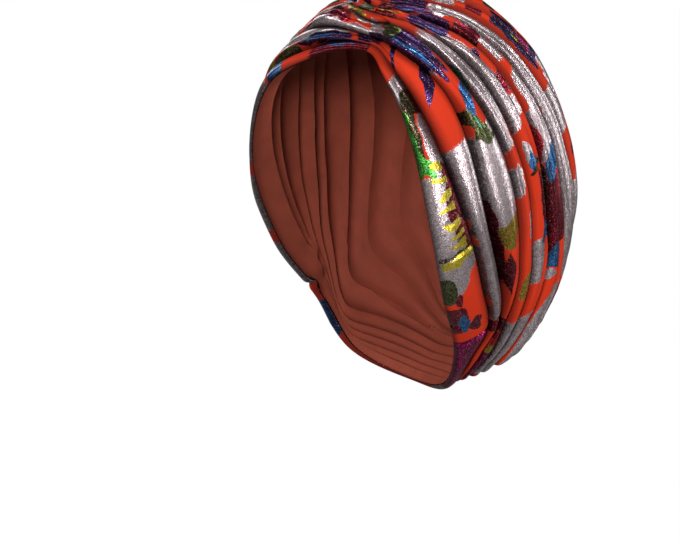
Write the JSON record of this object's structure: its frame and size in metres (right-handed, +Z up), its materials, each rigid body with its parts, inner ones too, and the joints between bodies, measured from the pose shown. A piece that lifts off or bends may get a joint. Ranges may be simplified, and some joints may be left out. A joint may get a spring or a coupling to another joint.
{
  "type": "turban head wrap",
  "caption": "Pleated pre-gathered turban head wrap of printed jersey with foil, open at the face and neck.",
  "frame": {"origin": "midway between the wearer's ear canals, in the middle of the hollow", "axes": "+X to the wearer's left, +Y to the back, +Z up through the crown"},
  "size_m": [0.1898, 0.1946, 0.2591],
  "materials": {
    "foil_print_jersey": "silver-pink foil glitter on orange knit",
    "orange_print_jersey": "matte orange knit",
    "maroon_print_jersey": "dark magenta foil glitter on knit"
  },
  "bodies": {
    "root": {"brow_band_left": "foil_print_jersey", "brow_band_right": "orange_print_jersey", "front_gather": "orange_print_jersey", "side_folds_left": "foil_print_jersey", "side_folds_right": "foil_print_jersey", "crown_folds": "foil_print_jersey", "nape_roll": "maroon_print_jersey"}
  },
  "joints": []
}
